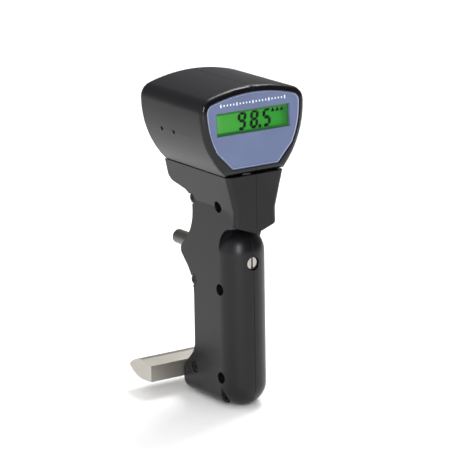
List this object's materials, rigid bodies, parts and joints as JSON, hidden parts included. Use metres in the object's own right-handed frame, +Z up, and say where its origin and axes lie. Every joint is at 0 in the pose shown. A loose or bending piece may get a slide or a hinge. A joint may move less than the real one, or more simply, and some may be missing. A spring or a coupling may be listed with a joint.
{
  "type": "indentation hardness tester",
  "caption": "Hand-held digital indentation hardness tester: pistol-like grip, wide support foot, spring-loaded point in a sleeve and a tilted display housing.",
  "frame": {"origin": "on the axis of the round palm column of the grip, at its lowest point, in the middle of the width", "axes": "+Z up along the grip, the display faces -Y, the point and the edge of the foot face +Y, X runs along the foot"},
  "size_m": [0.0666, 0.0773, 0.1762],
  "materials": {
    "case": "semi-gloss black moulded plastic",
    "panel": "blue-grey anodised face plate with a pale border",
    "window": "clear lens",
    "lcd": "green backlit liquid crystal cell",
    "black_part": "black moulding or component",
    "light_guide": "milky light guide",
    "zebra": "conductive elastomer",
    "board": "green solder mask",
    "trimmer": "blue moulded trimmer",
    "brass": "turned brass",
    "switch": "switch body",
    "button": "dark grey button",
    "contact": "nickel plated spring strip",
    "cell": "battery jacket",
    "screw_dark": "blackened steel",
    "screw_bright": "zinc plated steel",
    "casting": "cast alloy frame, as cast",
    "nickel": "satin nickel plated steel",
    "sleeve": "dark hardened steel",
    "steel": "ground steel",
    "lever_brass": "stamped brass",
    "ribbon": "flat ribbon cable"
  },
  "bodies": {
    "tester": {"head_left": "case", "head_right": "case", "handle_left": "case", "handle_right": "case", "display_panel": "panel", "lcd_window": "window", "lcd_cell": "lcd", "lcd_holder": "black_part", "backlight": "light_guide", "zebra_strips": "zebra", "display_board": "board", "display_chips": "black_part", "display_board_screws": "screw_bright", "main_board": "board", "main_chips": "black_part", "main_board_screws": "screw_bright", "board_header": "black_part", "zero_trimmer": "trimmer", "span_trimmer": "trimmer", "button_board": "board", "button_board_screws": "screw_bright", "tact_switches": "switch", "battery_tray": "black_part", "battery_contacts": "contact", "battery_cells": "cell", "head_case_screws": "screw_dark", "neck_screws": "screw_bright", "case_screws": "screw_dark", "frame": "casting", "leg": "nickel", "leg_screws": "screw_dark", "point_sleeve": "sleeve", "sleeve_lock_nut": "screw_dark", "load_spring": "steel", "fulcrum_pin": "steel", "sensor_body": "steel", "sensor_bracket": "casting", "sensor_screws": "screw_bright", "sensor_ribbon": "ribbon"},
    "zero_screw": {"zero_screw": "brass"},
    "span_screw": {"span_screw": "brass"},
    "power_button": {"power_button": "button"},
    "hold_button": {"hold_button": "button"},
    "battery_door": {"battery_door": "case"},
    "plunger": {"plunger": "steel", "indenter": "steel"},
    "load_adjuster": {"load_adjuster": "nickel"},
    "lever": {"lever": "lever_brass"},
    "sensor_spindle": {"sensor_spindle": "steel"}
  },
  "joints": [
    {"name": "indenter_slide", "type": "slide", "parent": "tester", "child": "plunger", "axis": [0, -1, 0], "range_m": [0, 0.00076], "stiffness_N_per_m": 150, "springref_m": -0.0002, "deforming": ["load_spring"]},
    {"name": "lever_hinge", "type": "hinge", "parent": "tester", "child": "lever", "pos_m": [0, 0.012, 0.0683], "axis": [1, 0, 0], "range_deg": [0, 3.63]},
    {"name": "sensor_slide", "type": "slide", "parent": "tester", "child": "sensor_spindle", "axis": [0, -1, 0], "range_m": [0, 0.00319]},
    {"name": "load_adjuster_turn", "type": "hinge", "parent": "tester", "child": "load_adjuster", "pos_m": [0, -0.008, 0.0803], "axis": [0, 1, 0], "range_deg": [-180, 180]},
    {"name": "zero_trim_turn", "type": "hinge", "parent": "tester", "child": "zero_screw", "pos_m": [-0.023, 0.0261, 0.1504], "axis": [1, 0, 0], "range_deg": [-135, 135]},
    {"name": "span_trim_turn", "type": "hinge", "parent": "tester", "child": "span_screw", "pos_m": [-0.023, 0.0147, 0.1504], "axis": [1, 0, 0], "range_deg": [-135, 135]},
    {"name": "power_button_press", "type": "slide", "parent": "tester", "child": "power_button", "axis": [-1, 0, 0], "range_m": [0, 0.0008], "stiffness_N_per_m": 100, "springref_m": -0.0002},
    {"name": "hold_button_press", "type": "slide", "parent": "tester", "child": "hold_button", "axis": [-1, 0, 0], "range_m": [0, 0.0008], "stiffness_N_per_m": 100, "springref_m": -0.0002},
    {"name": "battery_door_pull", "type": "slide", "parent": "tester", "child": "battery_door", "axis": [0, 1, 0], "range_m": [0, 0.012]}
  ],
  "couplings": [
    {"joint": "lever_hinge", "follows": "indenter_slide", "rad_per_m": 83.333},
    {"joint": "sensor_slide", "follows": "indenter_slide", "ratio": 4.2}
  ]
}
